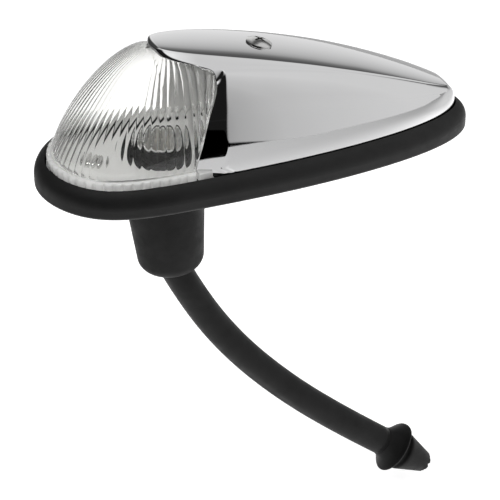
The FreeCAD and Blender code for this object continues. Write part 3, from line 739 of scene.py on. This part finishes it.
# ---------------------------------------------------------------- floor, light, camera
def build_floor():
    n = 96
    rad = [0.0005, 0.3, 0.8, 2.0, 6.0, 30.0]
    v = []
    for r in rad:
        for a in np.linspace(0, 2 * math.pi, n, endpoint=False):
            v.append((0.05 + r * math.cos(a), r * math.sin(a), FLOOR_Z))
    ob = mesh_object("floor", v, grid_faces(len(rad), n, wrap_cols=True))
    m, nt, b = new_mat("floor_white")
    co = node(nt, "ShaderNodeTexCoord").outputs["Object"]
    n1 = noise(nt, co, 3.0, 2.0, 0.5)
    cc = ramp(nt, n1.outputs["Fac"], [(0.3, 0.80), (0.7, 0.82)])
    nt.links.new(cc.outputs["Color"], b.inputs["Base Color"])
    b.inputs["Roughness"].default_value = 0.9
    # painted light: the floor glows (emission) in a pool round the lamp, fading into the room
    sep = node(nt, "ShaderNodeSeparateXYZ")
    nt.links.new(co, sep.inputs["Vector"])
    pool = node(nt, "ShaderNodeMapRange", interpolation_type="SMOOTHSTEP")
    pool.inputs["From Min"].default_value = -0.40
    pool.inputs["From Max"].default_value = -0.08
    pool.inputs["To Min"].default_value = 0.06
    pool.inputs["To Max"].default_value = 0.85
    nt.links.new(sep.outputs["Y"], pool.inputs["Value"])
    past = node(nt, "ShaderNodeMapRange", interpolation_type="SMOOTHSTEP")
    past.inputs["From Min"].default_value = 0.40
    past.inputs["From Max"].default_value = 0.62
    past.inputs["To Min"].default_value = 1.0
    past.inputs["To Max"].default_value = 0.35
    nt.links.new(sep.outputs["X"], past.inputs["Value"])
    ahead = node(nt, "ShaderNodeMapRange", interpolation_type="SMOOTHSTEP")
    ahead.inputs["From Min"].default_value = -0.20
    ahead.inputs["From Max"].default_value = -0.09
    ahead.inputs["To Min"].default_value = 0.05
    ahead.inputs["To Max"].default_value = 1.0
    slant = node(nt, "ShaderNodeMath", operation="MULTIPLY_ADD")
    nt.links.new(sep.outputs["Y"], slant.inputs[0])
    slant.inputs[1].default_value = -0.2
    nt.links.new(sep.outputs["X"], slant.inputs[2])
    nt.links.new(slant.outputs[0], ahead.inputs["Value"])
    beyond = node(nt, "ShaderNodeMapRange", interpolation_type="SMOOTHSTEP")
    beyond.inputs["From Min"].default_value = 0.54
    beyond.inputs["From Max"].default_value = 0.85
    beyond.inputs["To Min"].default_value = 1.0
    beyond.inputs["To Max"].default_value = 0.42
    nt.links.new(sep.outputs["Y"], beyond.inputs["Value"])
    rear = node(nt, "ShaderNodeMath", operation="MULTIPLY")
    nt.links.new(past.outputs[0], rear.inputs[0])
    nt.links.new(beyond.outputs[0], rear.inputs[1])
    ends = node(nt, "ShaderNodeMath", operation="MULTIPLY")
    nt.links.new(rear.outputs[0], ends.inputs[0])
    nt.links.new(ahead.outputs[0], ends.inputs[1])
    both = node(nt, "ShaderNodeMath", operation="MULTIPLY")
    nt.links.new(pool.outputs[0], both.inputs[0])
    nt.links.new(ends.outputs[0], both.inputs[1])
    b.inputs["Emission Color"].default_value = (1, 1, 1, 1)
    nt.links.new(both.outputs[0], b.inputs["Emission Strength"])
    ob.data.materials.append(m)
    face_outward(ob, (0, 0, 1))


build_floor()


def build_world():
    w = bpy.data.worlds.new("studio")
    bpy.context.scene.world = w
    w.use_nodes = True
    nt = w.node_tree
    nt.nodes.clear()
    out = node(nt, "ShaderNodeOutputWorld")
    bg = node(nt, "ShaderNodeBackground")
    nt.links.new(bg.outputs["Background"], out.inputs["Surface"])
    tc = node(nt, "ShaderNodeTexCoord")
    sep = node(nt, "ShaderNodeSeparateXYZ")
    nt.links.new(tc.outputs["Generated"], sep.inputs["Vector"])

    def math_node(op, a, b=None, c=None):
        n = node(nt, "ShaderNodeMath", operation=op)
        for i, q in enumerate((a, b, c)):
            if q is None:
                continue
            if isinstance(q, (int, float)):
                n.inputs[i].default_value = q
            else:
                nt.links.new(q, n.inputs[i])
        return n.outputs[0]
    x, y, z = sep.outputs["X"], sep.outputs["Y"], sep.outputs["Z"]
    # behind the lamp: a pale wall, a dark strip high up on the tail side, a pale ceiling past it
    rise = math_node("DIVIDE", math_node("ADD", x, z), 1.5)
    back = ramp(nt, rise, [(0.30, 0.81), (0.40, 0.74), (0.467, 0.68), (0.52, 0.605), (0.573, 0.51), (0.613, 0.39), (0.647, 0.19),
                           (0.68, 0.10), (0.747, 0.08), (0.80, 0.20), (0.847, 0.62), (0.90, 0.68)])
    # camera's side: dark to the left, paler towards the tail
    lean = math_node("DIVIDE", math_node("DIVIDE", x, math_node("MAXIMUM", math_node("MULTIPLY", y, -1.0), 0.001)), 1.5)
    front = ramp(nt, lean, [(0.093, 0.01), (0.267, 0.42), (0.38, 0.54), (0.56, 0.60), (0.773, 0.64), (1.0, 0.67)])

    def step(value, a, b):
        n = node(nt, "ShaderNodeMapRange", interpolation_type="SMOOTHSTEP")
        n.inputs["From Min"].default_value = a
        n.inputs["From Max"].default_value = b
        nt.links.new(value, n.inputs["Value"])
        return n.outputs[0]

    def blend(fac, a, b):
        n = node(nt, "ShaderNodeMix", data_type="RGBA")
        nt.links.new(fac, n.inputs["Factor"])
        nt.links.new(a, n.inputs["A"])
        if isinstance(b, float):
            n.inputs["B"].default_value = (b, b, b, 1)
        else:
            nt.links.new(b, n.inputs["B"])
        return n.outputs["Result"]
    over = ramp(nt, math_node("ADD", math_node("MULTIPLY", x, -1.0), 0.5), [(0.18, 0.64), (0.45, 0.92)])
    front = blend(step(math_node("ADD", z, math_node("MULTIPLY", y, 0.6)), 0.70, 0.85), front.outputs["Color"], over.outputs["Color"])
    near_left = node(nt, "ShaderNodeMix", data_type="RGBA")
    nt.links.new(step(x, -0.05, 0.16), near_left.inputs["Factor"])
    near_left.inputs["A"].default_value = (0.05, 0.05, 0.05, 1)
    nt.links.new(back.outputs["Color"], near_left.inputs["B"])
    shade = near_left.outputs["Result"]
    tone = blend(step(y, 0.12, 0.36), front, shade)
    nt.links.new(tone, bg.inputs["Color"])
    bg.inputs["Strength"].default_value = 1.0


build_world()


def build_screen():
    # upright studio screen on the camera's side, dark at the left; only the gloss of the lamp shows it
    y = -0.30
    low, high = -0.093, 0.12
    foot = [(-1.2, low - 0.012), (-0.05, low - 0.012), (0.09, low + 0.016), (0.16, low + 0.009), (0.21, low), (1.6, low)]
    ob = mesh_object("studio_screen", [(x, y, z) for x, z in foot] + [(1.6, y, high), (-1.2, y, high)], [tuple(range(8))], False)
    m = bpy.data.materials.new("studio_screen")
    m.use_nodes = True
    nt = m.node_tree
    nt.nodes.clear()
    out = node(nt, "ShaderNodeOutputMaterial")
    co = node(nt, "ShaderNodeTexCoord").outputs["Object"]
    sep = node(nt, "ShaderNodeSeparateXYZ")
    nt.links.new(co, sep.inputs["Vector"])
    across = ramp(nt, sep.outputs["X"], [(0.055, 0.01), (0.13, 0.42), (0.18, 0.54), (0.25, 0.60), (0.34, 0.64), (0.50, 0.67)])
    # dark hem along the foot, running out towards the tail
    slope = node(nt, "ShaderNodeMath", operation="MULTIPLY_ADD")
    nt.links.new(sep.outputs["X"], slope.inputs[0])
    slope.inputs[1].default_value = 0.4
    nt.links.new(sep.outputs["Z"], slope.inputs[2])
    hem = node(nt, "ShaderNodeMapRange", interpolation_type="SMOOTHSTEP")
    hem.inputs["From Min"].default_value = -0.023
    hem.inputs["From Max"].default_value = -0.017
    nt.links.new(slope.outputs[0], hem.inputs["Value"])
    tone = node(nt, "ShaderNodeMix", data_type="RGBA", blend_type="MULTIPLY")
    tone.inputs["Factor"].default_value = 1.0
    nt.links.new(across.outputs["Color"], tone.inputs["A"])
    nt.links.new(hem.outputs[0], tone.inputs["B"])
    em = node(nt, "ShaderNodeEmission")
    nt.links.new(tone.outputs["Result"], em.inputs["Color"])
    clear = node(nt, "ShaderNodeBsdfTransparent")
    edge = node(nt, "ShaderNodeMapRange", interpolation_type="SMOOTHSTEP")
    edge.inputs["From Min"].default_value = 0.02
    edge.inputs["From Max"].default_value = high
    nt.links.new(sep.outputs["Z"], edge.inputs["Value"])
    mix = node(nt, "ShaderNodeMixShader")
    nt.links.new(edge.outputs[0], mix.inputs["Fac"])
    nt.links.new(em.outputs[0], mix.inputs[1])
    nt.links.new(clear.outputs[0], mix.inputs[2])
    nt.links.new(mix.outputs[0], out.inputs["Surface"])
    ob.data.materials.append(m)
    ob.visible_camera = ob.visible_diffuse = ob.visible_transmission = ob.visible_shadow = ob.visible_volume_scatter = False


build_screen()


def area(name, loc, target, size, power):
    li = bpy.data.lights.new(name, "AREA")
    li.shape = "RECTANGLE"
    li.size, li.size_y = size
    li.energy = power
    ob = bpy.data.objects.new(name, li)
    bpy.context.scene.collection.objects.link(ob)
    ob.location = loc
    ob.rotation_euler = (Vector(target) - Vector(loc)).to_track_quat("-Z", "Y").to_euler()
    return ob


key = area("key", (-0.5, -0.35, 0.9), (0, 0, 0), (0.7, 0.7), 6)
key.visible_glossy = False


def build_camera():
    cam = bpy.data.cameras.new("camera")
    ob = bpy.data.objects.new("camera", cam)
    bpy.context.scene.collection.objects.link(ob)
    az, el, roll = math.radians(-17.098), math.radians(30.0), math.radians(1.0)
    back = Vector((math.sin(az) * math.cos(el) / 1.0, -math.cos(az) * math.cos(el), math.sin(el)))
    right = Vector((math.cos(az), math.sin(az), 0.0))
    up = back.cross(right)
    r2 = right * math.cos(roll) - up * math.sin(roll)
    u2 = right * math.sin(roll) + up * math.cos(roll)
    loc = Vector((9.72 * MM, 0, 0)) + back * 704.249 * MM
    m = Matrix((r2, u2, back)).transposed().to_4x4()
    m.translation = loc
    ob.matrix_world = m
    cam.sensor_fit = "HORIZONTAL"
    cam.sensor_width = 36
    cam.lens = 144
    cam.shift_x = (250 - 188.399) / 500
    cam.shift_y = -(250 - 165.285) / 500
    cam.clip_start = 0.01
    cam.clip_end = 100
    cam.dof.use_dof = False
    bpy.context.scene.camera = ob


build_camera()
